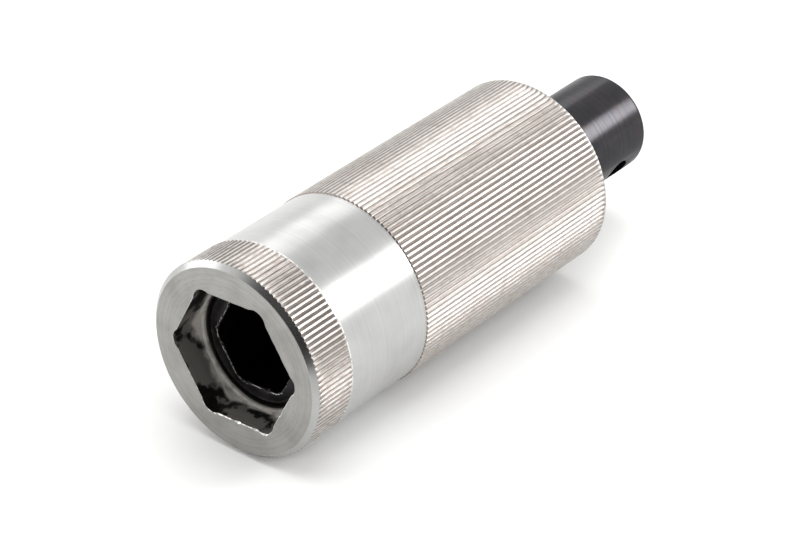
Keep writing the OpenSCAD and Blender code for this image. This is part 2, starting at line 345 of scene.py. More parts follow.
@dataclass(frozen=True)
class KnurledFinish(Finish):
    """Rolled teeth: bright rubbed tips over grooves in a darker tone: a brownish film of oil, with painted shade in
    the grooves.
    """

    # Groove tone: the oil film's colour and painted shade, darker down in the grooves
    groove_oil_and_shade_tone: str = "#908883"
    root_mm: float = 18.45
    tip_mm: float = 18.75
    groove_oil_shade_edge: Span = (0.55, 0.95)
    groove_roughness: float = 0.42
    stroke_mm: Span = (1.1, 0.5)
    wear_mm: Span = (-0.12, 0.1)
    feed_mm: float = 8.7
    feed_start_mm: float = 34.6
    feed_shade: float = 0.16
    feed_ring_mm: Span = (0.1, 0.45)
    feed_gap_mm: float = 1.2
    feed_gap_edge: Span = (0.4, 0.62)

    def drawn(self, point: ToolPoint, long_mm: float, short_mm: float) -> Node:
        """Gives an unevenness that is drawn out along the teeth.

        Args:
            point: the coordinates.
            long_mm: its size along the teeth.
            short_mm: its size across them.

        Returns:
            The node that gives the unevenness, from nought to one.
        """
        scale = (1 / (long_mm * MM), 1 / (short_mm * MM), 1 / (short_mm * MM))
        stroke = add(point.tree, "ShaderNodeMapping", {"Vector": point.place, "Scale": scale})
        return add(point.tree, "ShaderNodeTexNoise", {"Vector": stroke, "Scale": 1.0, "Detail": 3.0})

    def height(self, point: ToolPoint) -> Node:
        """Gives a value that runs from nought in the grooves to one on the teeth's tips, uneven along each tooth.

        Args:
            point: the coordinates.

        Returns:
            The node that gives the value.
        """
        low, high = self.wear_mm
        ends = {"Value": self.drawn(point, *self.stroke_mm), "To Min": low * MM, "To Max": high * MM}
        shift = add(point.tree, "ShaderNodeMapRange", ends)
        worn = add(point.tree, "ShaderNodeMath", {0: point.radius, 1: shift}, operation="ADD")
        bottom, top = (lerp(self.root_mm, self.tip_mm, share) * MM for share in self.groove_oil_shade_edge)
        # Oil and painted shade fill the grooves below the tips
        oil_shade_span = {"Value": worn, "From Min": bottom, "From Max": top}
        return add(point.tree, "ShaderNodeMapRange", oil_shade_span, interpolation_type="SMOOTHSTEP")

    def tint(self, point: ToolPoint, tone: Output) -> Output:
        """Gives the colour: the oil film's tone with painted shade in the grooves, the steel's on the tips, and faint
        rings between passes.

        Args:
            point: the coordinates.
            tone: the steel's colour.

        Returns:
            The mixed colour.
        """
        # Painted shade and oil film in the grooves, steel on the tips
        tones = {"Factor": self.height(point), "A": linear(self.groove_oil_and_shade_tone), "B": tone}
        mixed = add(point.tree, "ShaderNodeMix", tones, data_type="RGBA").outputs[2]
        return darkened(point.tree, mixed, self.passes(point), self.feed_shade)

    def passes(self, point: ToolPoint) -> Node:
        """Gives one on the thin, broken rings where one pass of the rolls ends and the next begins.

        Args:
            point: the coordinates.

        Returns:
            The node that gives the value.
        """
        tree = point.tree
        shifted = add(tree, "ShaderNodeMath", {0: point.along, 1: self.feed_start_mm * MM}, operation="SUBTRACT")
        aside = add(tree, "ShaderNodeMath", {0: shifted, 1: self.feed_mm / 2 * MM}, operation="PINGPONG")
        near, far = (width * MM for width in self.feed_ring_mm)
        edge = {"Value": aside, "From Min": near, "From Max": far, "To Min": 1.0, "To Max": 0.0}
        ring = add(tree, "ShaderNodeMapRange", edge)
        size = {"Vector": point.place, "Scale": 1 / (self.feed_gap_mm * MM), "Detail": 2.0}
        low, high = self.feed_gap_edge
        gaps = {"Value": add(tree, "ShaderNodeTexNoise", size), "From Min": low, "From Max": high}
        broken = add(tree, "ShaderNodeMapRange", gaps)
        return add(tree, "ShaderNodeMath", {0: ring, 1: broken}, operation="MULTIPLY")

    def polish(self, point: ToolPoint, patches: Node) -> Node:
        """Gives the roughness, which differs between the grooves and the tips."""
        ends = {"Value": self.height(point), "To Min": self.groove_roughness, "To Max": self.roughness}
        return add(point.tree, "ShaderNodeMapRange", ends)

    def relief(self, point: ToolPoint) -> Node:
        """Gives the surface's direction, bent by short scuffs that run along the teeth."""
        scuffs = {"Height": self.drawn(point, self.mark_mm, self.grain_mm), "Distance": self.mark_depth_mm * MM}
        return add(point.tree, "ShaderNodeBump", scuffs)


@dataclass(frozen=True)
class BroachedFinish(Finish):
    """Broached walls with oil stains, lighter and less stained towards the inner end."""

    inner_end_tone: str = "#d5d1cb"
    inner_end_mm: Span = (4.0, 5.5)
    inner_end_share: float = 0.7
    stain_left: float = 0.15
    border_mm: float = 1.9
    border_size_mm: float = 3.0

    def rubbed(self, point: ToolPoint) -> Node:
        """Gives a value that runs from nought near the mouth to one at the inner end, with an uneven border.

        Args:
            point: the coordinates.

        Returns:
            The node that gives the value.
        """
        size = {"Vector": point.place, "Scale": 1 / (self.border_size_mm * MM), "Detail": 3.0}
        cloud = add(point.tree, "ShaderNodeTexNoise", size)
        reach = self.border_mm * MM
        shift = add(point.tree, "ShaderNodeMapRange", {"Value": cloud, "To Min": -reach, "To Max": reach})
        place = add(point.tree, "ShaderNodeMath", {0: point.along, 1: shift}, operation="ADD")
        low, high = self.inner_end_mm
        border = {"Value": place, "From Min": low * MM, "From Max": high * MM}
        return add(point.tree, "ShaderNodeMapRange", border, interpolation_type="SMOOTHSTEP")

    def patches(self, point: ToolPoint) -> Node:
        """Gives the share of oil at each place, less towards the inner end.

        Args:
            point: the coordinates.

        Returns:
            The node that gives the share.
        """
        ends = {"Value": self.rubbed(point), "To Min": 1.0, "To Max": self.stain_left}
        kept = add(point.tree, "ShaderNodeMapRange", ends)
        return add(point.tree, "ShaderNodeMath", {0: super().patches(point), 1: kept}, operation="MULTIPLY")

    def tint(self, point: ToolPoint, tone: Output) -> Output:
        """Gives the colour, lighter towards the inner end.

        Args:
            point: the coordinates.
            tone: the colour of the wall with its oil.

        Returns:
            The mixed colour.
        """
        share = add(point.tree, "ShaderNodeMapRange", {"Value": self.rubbed(point), "To Max": self.inner_end_share})
        tones = {"Factor": share, "A": super().tint(point, tone), "B": linear(self.inner_end_tone)}
        return add(point.tree, "ShaderNodeMix", tones, data_type="RGBA").outputs[2]


# Turned and ground free-cutting steel: bright and silky, with rings of fine lines that draw lights out lengthways
BAND_STEEL = Finish(
    "turned_band_steel", "#c6c6c5", "#bfbfbe", 0.34, 0.38, marks=Marks.AROUND, mark_mm=0.55, mark_depth_mm=0.003,
    mark_shade=0.16, grain_mm=0.3, grain_depth_mm=0.0004, stretch=0.88,
)
# Faced steel: matt and greyer, with rings round the mouth from the facing cut
FACE_STEEL = Finish(
    "faced_steel", "#a9a8a5", "#9c9b97", 0.42, 0.50, marks=Marks.CONCENTRIC, mark_mm=0.6, mark_depth_mm=0.008,
    mark_shade=0.22, nick_shade=0.16, grain_depth_mm=0.002,
)
# Chamfer cut with a sharp tool: the smoothest and most mirror-like surface of the sleeve
CHAMFER_STEEL = Finish(
    "chamfered_steel", "#a8a8a7", "#a0a09e", 0.26, 0.30, marks=Marks.AROUND, mark_mm=0.3, mark_depth_mm=0.001,
    grain_mm=0.3, grain_depth_mm=0.0001,
)
# Rolled knurl: bright tips, grooves darkened by oil and by painted shade, faint scuffs along the teeth
KNURL_STEEL = KnurledFinish(
    "rolled_knurl_steel", "#b9b7b4", "#ada9a4", 0.40, 0.44, patch_mm=9.0, mark_mm=1.6, mark_depth_mm=0.02,
    grain_mm=0.35,
)
# Front knurl, rolled the same way: its grooves' oil and painted shade are darker than the rear knurl's
FRONT_KNURL_STEEL = replace(KNURL_STEEL, label="darker_front_knurl_steel", groove_oil_and_shade_tone="#807873")
# Broached steel inside the mouth: dull grey with black oil stains
BROACHED_STEEL = BroachedFinish(
    "broached_oily_steel", "#7c7874", "#120f0d", 0.38, 0.46, patch_mm=4.6, patch_edge=(0.47, 0.535),
    marks=Marks.AROUND, mark_mm=0.8, mark_depth_mm=0.02, mark_shade=0.4, grain_mm=0.6, grain_depth_mm=0.012,
    metal=0.5,
)
# Tapered lead: a light, part-matt tone that paints light onto its slope, brighter than the walls
LEAD_STEEL = Finish(
    "lead_painted_light_steel", "#d9d5cf", "#b0aaa2", 0.42, 0.50, patch_mm=2.0, marks=Marks.AROUND, mark_mm=0.3, metal=0.6,
)
# Rim of the hexagon mouth and the bead behind the front knurl: a burr pushed up by the collars, with a painted
# highlight: a bright, part-matt tone that shows a bright line at every angle
RIM_HIGHLIGHT_STEEL = Finish(
    "burred_rim_painted_highlight", "#f0eeea", "#a5a29d", 0.34, 0.44, patch_mm=0.8, patch_edge=(0.45, 0.6), metal=0.4,
)
# Bored steel, left as the boring bar cut it
BORE_STEEL = Finish(
    "bored_steel", "#a3a19d", "#8b8883", 0.38, 0.48, marks=Marks.AROUND, mark_mm=0.5, mark_depth_mm=0.008,
    mark_shade=0.2,
)
# Blackened turned steel: nearly black and satin, with a warm gleam where the lines are rubbed
SHAFT_BLACK = Finish(
    "blackened_turned_steel", "#414144", "#494546", 0.225, 0.26, patch_mm=3.0, marks=Marks.AROUND, mark_mm=0.6,
    mark_depth_mm=0.005, mark_shade=0.4, stretch=0.7, grazing_tint="#d3d3d4",
)
# Blackened socket: the same black, duller and rubbed in places
SOCKET_BLACK = Finish(
    "blackened_socket_steel", "#323134", "#433f40", 0.34, 0.42, patch_mm=2.5, marks=Marks.AROUND, mark_mm=0.4,
    mark_depth_mm=0.004, mark_shade=0.2,
)
# Edge rubbed back to bare steel by the bolts' heads: a thin bright line round the black socket's hexagon
RUBBED_EDGE = Finish(
    "rubbed_edge_steel", "#9a9794", "#3a3837", 0.34, 0.44, patch_mm=1.5, patch_edge=(0.42, 0.6), metal=0.7,
)
# Bearing bronze: warm, with the fine pores of a sintered bush
BRONZE = Finish(
    "sintered_bearing_bronze", "#b98f5a", "#8a6438", 0.38, 0.55, patch_mm=0.6, marks=Marks.AROUND, mark_mm=0.4,
    grain_mm=0.25, grain_depth_mm=0.01,
)
# Stamped and tumbled hard washer steel: grey with a fine orange-peel grain
WASHER_STEEL = Finish("tumbled_washer_steel", "#a3a3a4", "#8b8b8d", 0.34, 0.45, patch_mm=3.0, grain_mm=0.4,
                      grain_depth_mm=0.006)
# Oil-drawn spring wire: dark grey and smooth
SPRING_STEEL = Finish("drawn_spring_wire", "#77777a", "#5f5d5c", 0.30, 0.42, patch_mm=1.5, grain_mm=0.2,
                      grain_depth_mm=0.004)
# Phosphated ring steel: black, oiled and fine-grained
RING_STEEL = Finish("phosphated_ring_steel", "#3a3735", "#4a4542", 0.46, 0.58, patch_mm=1.2, grain_mm=0.15,
                    grain_depth_mm=0.006)
# Ground dowel pin: hard and bright
PIN_STEEL = Finish("ground_pin_steel", "#c2c2c4", "#b0b0b2", 0.18, 0.26, patch_mm=2.0, grain_mm=0.3,
                   grain_depth_mm=0.002)


def circle(along: float, radius: float) -> Ring:
    """Gives a plain round ring."""
    return lambda number: (along, radius)


def outlined(along: float, radii: list[float]) -> Ring:
    """Gives a ring with a radius of its own at each corner."""
    return lambda number: (along, radii[number])


class RingShell:
    """A closed wall that grows ring by ring, each ring with the same number of corners round the tool's axis."""

    def __init__(self, angles: list[float], start: Ring, filled: bool = False) -> None:
        """Starts the wall.

        Args:
            angles: the angle of each corner of a ring.
            start: gives a corner's place along the tool and its radius, by the corner's number.
            filled: True if the first ring is closed with a flat floor.
        """
        self.angles = angles
        self.mesh = bmesh.new()
        self.corner = self.mesh.verts.layers.int.new("corner")
        made = bmesh.ops.create_circle(self.mesh, cap_ends=filled, segments=len(angles), radius=1.0)["verts"]
        for number, vert in enumerate(made):
            vert[self.corner] = number
        self.first = self.edge = list(self.mesh.edges)
        self.place(made, start)

    def place(self, verts: list[bmesh.types.BMVert], ring: Ring) -> None:
        """Moves one ring's corners to where they belong.

        Args:
            verts: the ring's corners.
            ring: gives a corner's place along the tool and its radius, by the corner's number.
        """
        for vert in verts:
            number = vert[self.corner]
            along, radius = ring(number)
            angle = math.radians(self.angles[number])
            vert.co = (along, radius * math.sin(angle), -radius * math.cos(angle))

    def grow(self, ring: Ring, zone: int = 0) -> None:
        """Adds the next ring and the wall up to it.

        Args:
            ring: gives a corner's place along the tool and its radius, by the corner's number.
            zone: the material slot of the new wall.
        """
        made = bmesh.ops.extrude_edge_only(self.mesh, edges=self.edge)["geom"]
        verts = [item for item in made if isinstance(item, bmesh.types.BMVert)]
        fresh = set(verts)
        self.edge = [
            item for item in made if isinstance(item, bmesh.types.BMEdge) and fresh.issuperset(item.verts)
        ]
        for item in made:
            if isinstance(item, bmesh.types.BMFace):
                item.material_index = zone
        self.place(verts, ring)

    def turn(self, *places: Place, zone: int = 0) -> None:
        """Adds plain round rings.

        Args:
            *places: the place along the tool and the radius of each ring.
            zone: the material slot of the new walls.
        """
        for along, radius in places:
            self.grow(circle(along, radius), zone)

    def join_ends(self, zone: int) -> None:
        """Bridges the last ring to the first.

        Args:
            zone: the material slot of the new wall.
        """
        for face in bmesh.ops.bridge_loops(self.mesh, edges=self.edge + self.first)["faces"]:
            face.material_index = zone

    def fill_end(self) -> None:
        """Closes the last ring with a flat floor."""
        bmesh.ops.edgeloop_fill(self.mesh, edges=self.edge)


@dataclass(frozen=True)
class Unevenness:
    """A smooth, repeatable unevenness: how much, how long along the tool, how far the next tooth's lies, and which."""

    amount: float
    length: float
    step: float
    seed: float

    def at(self, along: float, tooth: int) -> float:
        """Gives the unevenness of a tooth at a place."""
        return self.amount * noise.noise(Vector((along / self.length, tooth * self.step, self.seed)))


def ripple(angle: float, waves: float, seed: float) -> float:
    """Gives a smooth, repeatable unevenness between about -1 and 1 at an angle, in radians, round a rim."""
    return noise.noise(Vector((waves * math.sin(angle), waves * math.cos(angle), seed)))


def snapped(angles: list[float], targets: list[float]) -> list[float]:
    """Moves the nearest angle onto each target, so that a sharp corner of an outline falls on a mesh corner.

    Args:
        angles: rising angles round the tool.
        targets: angles that must be among them.

    Returns:
        The changed list.
    """
    changed = list(angles)
    for target in targets:
        gaps = [abs((angle - target + 180) % 360 - 180) for angle in angles]
        changed[gaps.index(min(gaps))] = target
    return changed


def polygon_radius(sides: int, across_flats: float, angle: float) -> float:
    """Gives a regular polygon's radius at an angle counted from the middle of a flat.

    Args:
        sides: the number of its sides.
        across_flats: the distance between two opposite flats.
        angle: the angle.

    Returns:
        The radius.
    """
    half = 180 / sides
    return across_flats / 2 / math.cos(math.radians((angle + half) % (2 * half) - half))


def finished(mesh: Mesh, name: str, finishes: list[Finish], sharp: float = 32.0) -> Piece:
    """Turns a mesh in millimetres into a piece of the scene, smooth but for its sharp edges.

    Args:
        mesh: the closed mesh, which is freed.
        name: the piece's name.
        finishes: the finish of each material slot.
        sharp: the least angle between two faces whose edge stays sharp, in degrees.

    Returns:
        The piece, at the origin.
    """
    bmesh.ops.recalc_face_normals(mesh, faces=mesh.faces)
    bmesh.ops.scale(mesh, vec=(MM, MM, MM), verts=mesh.verts)
    data = bpy.data.meshes.new(name)
    mesh.to_mesh(data)
    mesh.free()
    data.shade_smooth()
    data.set_sharp_from_angle(angle=math.radians(sharp))
    piece = bpy.data.objects.new(name, data)
    bpy.context.scene.collection.objects.link(piece)
    for finish in finishes:
        data.materials.append(finish.material())
    LOG.info("%s: %d faces", name, len(data.polygons))
    return piece


def rounded(mesh: Mesh, geom: list, size: float, segments: int, affect: str = "EDGES", clamp: bool = False) -> None:
    """Bevels edges or corners.

    Args:
        mesh: the mesh that is changed.
        geom: the edges or corners.
        size: the size of the bevel.
        segments: the number of faces across it.
        affect: EDGES or VERTICES.
        clamp: True if neighbouring bevels may not overlap.
    """
    bmesh.ops.bevel(
        mesh, geom=geom, offset=size, offset_type="OFFSET", affect=affect, segments=segments, profile=0.5,
        material=-1, clamp_overlap=clamp,
    )


def merged_copy(node: str, bevel: float, wanted: Callable[[bmesh.types.BMEdge], bool]) -> Mesh:
    """Copies a CAD node's mesh, joins its loose triangles and rounds its sharp edges.

    Args:
        node: the CAD node's name.
        bevel: the size of the bevel, in millimetres.
        wanted: tells whether a sharp edge is rounded.

    Returns:
        The mesh, in millimetres.
    """
    flat, sharp = math.radians(0.4), math.radians(30)
    mesh = bmesh.new()
    mesh.from_mesh(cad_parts[node].data)
    bmesh.ops.scale(mesh, vec=(1 / MM, 1 / MM, 1 / MM), verts=mesh.verts)
    bmesh.ops.remove_doubles(mesh, verts=mesh.verts, dist=WELD_MM)
    bmesh.ops.dissolve_limit(
        mesh, angle_limit=flat, verts=mesh.verts, edges=mesh.edges, use_dissolve_boundaries=False
    )
    edges = [
        edge
        for edge in mesh.edges
        if edge.is_manifold and edge.calc_face_angle() > sharp and edge.is_convex and wanted(edge)
    ]
    rounded(mesh, edges, bevel, 2, clamp=True)
    return mesh


class SleeveZone(IntEnum):
    """The sleeve's surfaces, which are its material slots."""

    FACE = 0
    CHAMFER = 1
    KNURL = 2
    BAND = 3
    MOUTH = 4
    LEAD = 5
    BORE = 6
    HIGHLIGHT_RIM = 7
    FRONT_KNURL = 8


@dataclass
class KnurledSleeve:
    """The outer sleeve: two knurls, a smooth band, the hexagon mouth and the bores."""

    length: float = 83.0
    tip_radius: float = 18.75
    knurl_depth: float = 0.3
    front_share: float = 0.5
    front_runout: float = 1.2
    rear_share: float = 0.2
    rear_runout: float = 0.9
    rear_runout_rings: tuple[float, ...] = (0.35, 0.7, 0.9)
    teeth: int = 118
    tooth_shape: tuple[Place, ...] = (
        (-0.5, 1.0), (-0.43, 0.9), (-0.3, 0.49), (-0.17, 0.08), (0.0, 0.0), (0.17, 0.08), (0.3, 0.49), (0.43, 0.9),
    )
    waves: tuple[Unevenness, ...] = (Unevenness(0.05, 2.6, 3.7, 1.0), Unevenness(0.03, 9.0, 0.6, 5.0))
    tip_wear: Unevenness = Unevenness(0.006, 3.3, 2.9, 9.0)
    crease_angle: float = 20.0
    front_knurl_end: float = 9.4
    front_rings: tuple[float, ...] = (1.25, 2.1, 3.0, 3.9, 4.8, 5.7, 6.6, 7.5, 8.4, 9.28)
    front_step: float = 0.02
    bead_width: float = 0.05
    bead_height: float = 0.02
    band_end: float = 29.7
    band_radius: float = 18.5
    band_rings: tuple[float, ...] = (0.25, 0.5, 0.75)
    band_groove: float = 0.03
    tooth_lean: float = 0.5
    tooth_lean_least: float = 0.02
    rear_knurl_inset: float = 0.5
    rear_knurl_steps: int = 26
    face_chamfer: float = 1.0
    rear_chamfer: float = 0.6
    rear_bevel: float = 0.35
    edge_round: float = 0.06
    corner_cut: float = 0.03
    mouth_flats: float = 24.2
    mouth_depth: float = 5.4
    mouth_rings: tuple[float, ...] = (4.0, 2.6, 1.3, 0.35)
    corner_radius: float = 13.5
    relief_radius: float = 2.45
    relief_ring: float = 11.4
    hexagon_turn: float = -2.8
    lead_end: float = 6.3
    lead_play: Span = (0.03, 0.02)
    front_bore: float = 11.85
    shoulder: float = 12.0
    main_bore: float = 13.0
    ring_groove: Span = (78.55, 79.85)
    groove_radius: float = 13.65
    rim_burr: float = 0.2
    burr_least: float = 0.15
    burr_middle: float = -40.0
    burr_waves: float = 9.0
    burr_roughness: float = 1.2
    zones: list[Finish] = field(default_factory=lambda: [
        FACE_STEEL, CHAMFER_STEEL, KNURL_STEEL, BAND_STEEL, BROACHED_STEEL, LEAD_STEEL, BORE_STEEL, RIM_HIGHLIGHT_STEEL,
        FRONT_KNURL_STEEL,
    ])

    def knurl_radius(self, number: int, along: float) -> float:
        """Gives the knurl's radius at a corner of a ring.

        The rolls leave each tooth a little uneven along its length, and no two teeth quite alike.

        Args:
            number: the corner's number.
            along: the place along the tool.

        Returns:
            The radius.
        """
        tooth, part = divmod(number, len(self.tooth_shape))
        drop = self.tooth_shape[part][1]
        depth = self.knurl_depth * (1 + sum(wave.at(along, tooth) for wave in self.waves)) * self.runout(along)
        sunk = self.tip_wear.amount + self.tip_wear.at(along, tooth)
        return self.tip_radius - drop * depth - (1 - drop) * sunk

    def runout(self, along: float) -> float:
        """Gives the share of the teeth's depth at a place, which is less where they run out at the sleeve's ends.

        Args:
            along: the place along the tool.

        Returns:
            The share, at most one.
        """
        front = lerp(self.front_share, 1.0, (along - self.face_chamfer) / self.front_runout)
        rear = lerp(self.rear_share, 1.0, (self.length - self.rear_bevel - along) / self.rear_runout)
        return max(self.rear_share, min(1.0, front, rear))

    def knurl(self, along: float) -> Ring:
        """Gives a ring of the knurl."""
        return lambda number: (along, self.knurl_radius(number, along))

    def front_edge(self, number: int) -> Place:
        """Gives the sawtooth line in which the front chamfer cuts the knurl."""
        radius = self.knurl_radius(number, self.face_chamfer)
        return radius - (self.tip_radius - self.face_chamfer), radius

    def front_foot(self, number: int) -> Place:
        """Gives the line in which the front knurl ends above the band."""
        end = self.front_knurl_end
        return end - self.front_step, min(self.knurl_radius(number, end), self.band_radius)

    def rear_edge(self, number: int) -> Place:
        """Gives the sawtooth line in which the rear bevel cuts the knurl."""
        radius = self.knurl_radius(number, self.length)
        return self.length - (radius - (self.tip_radius - self.rear_bevel)), radius

    def tooth_front(self, number: int) -> Place:
        """Gives the line in which the rear knurl's cut front meets the teeth.

        Args:
            number: the corner's number.

        Returns:
            The place along the tool and the radius.
        """
        radius = self.knurl_radius(number, self.band_end)
        along, foot = self.tooth_foot(number)
        return along + max(self.tooth_lean_least, self.tooth_lean * (radius - foot)), radius

    def tooth_foot(self, number: int) -> Place:
        """Gives the line in which the rear knurl's cut front meets the shallow groove beside the band."""
        floor = self.band_radius - self.band_groove
        return self.band_end + self.band_groove, min(self.knurl_radius(number, self.band_end), floor)

    def mouth_radius(self, angle: float) -> float:
        """Gives the radius of the hexagon mouth with its round corner reliefs.

        Args:
            angle: the angle round the tool.

        Returns:
            The radius.
        """
        turned_angle = angle - self.hexagon_turn
        flat = min(polygon_radius(6, self.mouth_flats, turned_angle), self.corner_radius)
        aside = math.radians(turned_angle % 60 - 30)
        reach = self.relief_radius**2 - (self.relief_ring * math.sin(aside)) ** 2
        return max(flat, self.relief_ring * math.cos(aside) + math.sqrt(reach)) if reach > 0 else flat

    def mouth_corners(self) -> list[float]:
        """Finds the angles at which the flats meet the corner reliefs.

        Returns:
            The twelve angles.
        """
        flat = self.mouth_flats / 2
        centre = self.relief_ring * math.cos(math.radians(30)), self.relief_ring * math.sin(math.radians(30))
        half = math.sqrt(self.relief_radius**2 - (flat - centre[0]) ** 2)
        aside = math.degrees(math.atan2(centre[1] - half, flat))
        return [self.hexagon_turn + 60 * side + sign * aside for side in range(6) for sign in (-1, 1)]

    def burr(self, angle: float) -> float:
        """Gives the rim's uneven width at an angle, which is greatest round burr_middle; the rim carries a painted
        highlight, widest there.

        Args:
            angle: the angle round the tool.

        Returns:
            The width.
        """
        turn = math.radians(angle)
        toward_middle = (1 + math.cos(turn - math.radians(self.burr_middle))) / 2
        rough = 1 + self.burr_roughness * ripple(turn, self.burr_waves, 2.0)
        return self.rim_burr * lerp(self.burr_least, 1.0, toward_middle**2) * rough

    def build(self) -> list[Piece]:
        """Builds the sleeve and puts it in its CAD node's place.

        Returns:
            The piece, in a list.
        """
        pitch = 360 / self.teeth
        angles = [(tooth + part) * pitch for tooth in range(self.teeth) for part, _ in self.tooth_shape]
        face_radius = self.tip_radius - self.face_chamfer
        ease = 0.7 * self.edge_round
        shell = RingShell(angles, circle(0.0, face_radius - self.edge_round))
        shell.turn((ease, face_radius + ease), zone=SleeveZone.CHAMFER)
        shell.grow(self.front_edge, SleeveZone.CHAMFER)
        self.grow_front(shell)
        self.grow_rear(shell)
        self.grow_bores(shell)
        shell.angles = snapped(angles, self.mouth_corners())
        self.grow_mouth(shell)
        shell.join_ends(SleeveZone.FACE)
        piece = finished(shell.mesh, "knurled_sleeve", self.zones, self.crease_angle)
        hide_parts("outer_sleeve")
        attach(piece, "sleeve")
        return [piece]

    def grow_front(self, shell: RingShell) -> None:
        """Grows the front knurl and the band, with the thin bead between them, whose crest carries a painted
        highlight.

        Args:
            shell: the sleeve's wall, which ends at the front chamfer.
        """
        for along in self.front_rings:
            shell.grow(self.knurl(along), SleeveZone.FRONT_KNURL)
        shell.grow(self.front_foot, SleeveZone.FRONT_KNURL)
        start, end, radius, bead = self.front_knurl_end, self.band_end, self.band_radius, self.bead_width
        crest = radius + self.bead_height
        shell.turn((start, radius), zone=SleeveZone.FRONT_KNURL)
        shell.turn((start + 3 * bead, radius), zone=SleeveZone.BAND)
        # The bead's crest takes the rim's finish: a painted highlight
        shell.turn((start + 4 * bead, crest), (start + 6 * bead, crest), zone=SleeveZone.HIGHLIGHT_RIM)
        middle = ((lerp(start, end, share), radius) for share in self.band_rings)
        shell.turn(
            (start + 7 * bead, radius), *middle, (end - 3 * bead, radius), (end - bead, radius), zone=SleeveZone.BAND
        )

    def grow_rear(self, shell: RingShell) -> None:
        """Grows the groove behind the band, the rear knurl and the rear bevel.

        Args:
            shell: the sleeve's wall, which ends at the band.
        """
        # The groove behind the band and the teeth's foot take the bored finish, darker than the band
        shell.turn((self.band_end, self.band_radius - self.band_groove), zone=SleeveZone.BORE)
        shell.grow(self.tooth_foot, SleeveZone.BORE)
        start, stop = self.band_end + self.rear_knurl_inset, self.length - self.rear_bevel - self.rear_runout
        shell.grow(self.tooth_front, SleeveZone.KNURL)
        for step in range(self.rear_knurl_steps + 1):
            shell.grow(self.knurl(lerp(start, stop, step / self.rear_knurl_steps)), SleeveZone.KNURL)
        for share in self.rear_runout_rings:
            shell.grow(self.knurl(stop + share * self.rear_runout), SleeveZone.KNURL)
        shell.grow(self.rear_edge, SleeveZone.KNURL)
        radius, cut = self.tip_radius - self.rear_bevel, self.corner_cut
        shell.turn(
            (self.length - cut, radius + cut), (self.length, radius - self.edge_round), zone=SleeveZone.CHAMFER
        )

    def grow_bores(self, shell: RingShell) -> None:
        """Grows the rear face and the round bores back to the mouth.

        Args:
            shell: the sleeve's wall, which ends at the rear face's outer edge.
        """
        end, bore, cut = self.length, self.main_bore, self.corner_cut
        near, far = self.ring_groove
        mouth = bore + self.rear_chamfer
        shell.turn((end, mouth + self.edge_round), zone=SleeveZone.FACE)
        shell.turn((end - cut, mouth - cut), (end - self.rear_chamfer, bore), zone=SleeveZone.CHAMFER)
        shell.turn(
            (far, bore), (far, self.groove_radius), (near, self.groove_radius), (near, bore), (self.shoulder, bore),
            (self.shoulder, self.front_bore), (self.lead_end, self.front_bore), zone=SleeveZone.BORE,
        )
        wide, narrow = self.lead_play
        # The lead's light tone is painted light on its slope
        shell.turn(
            (lerp(self.mouth_depth, self.lead_end, 0.5), self.front_bore + wide),
            (self.mouth_depth, self.mouth_flats / 2 - narrow),
            zone=SleeveZone.LEAD,
        )

    def grow_mouth(self, shell: RingShell) -> None:
        """Grows the pockets' floors, the hexagon's walls and the burred rim up to the front face; the rim carries a
        painted highlight.

        Args:
            shell: the sleeve's wall, which ends at the front of the lead.
        """
        outline = [self.mouth_radius(angle) for angle in shell.angles]
        burr = [self.burr(angle) for angle in shell.angles]
        for along in (self.mouth_depth, *self.mouth_rings):
            shell.grow(outlined(along, outline), SleeveZone.MOUTH)
        shell.grow(lambda number: (burr[number], outline[number]), SleeveZone.MOUTH)
        # The rim's faces carry a painted highlight: a bright, part-matt tone
        shell.grow(lambda number: (0.0, outline[number] + burr[number]), SleeveZone.HIGHLIGHT_RIM)


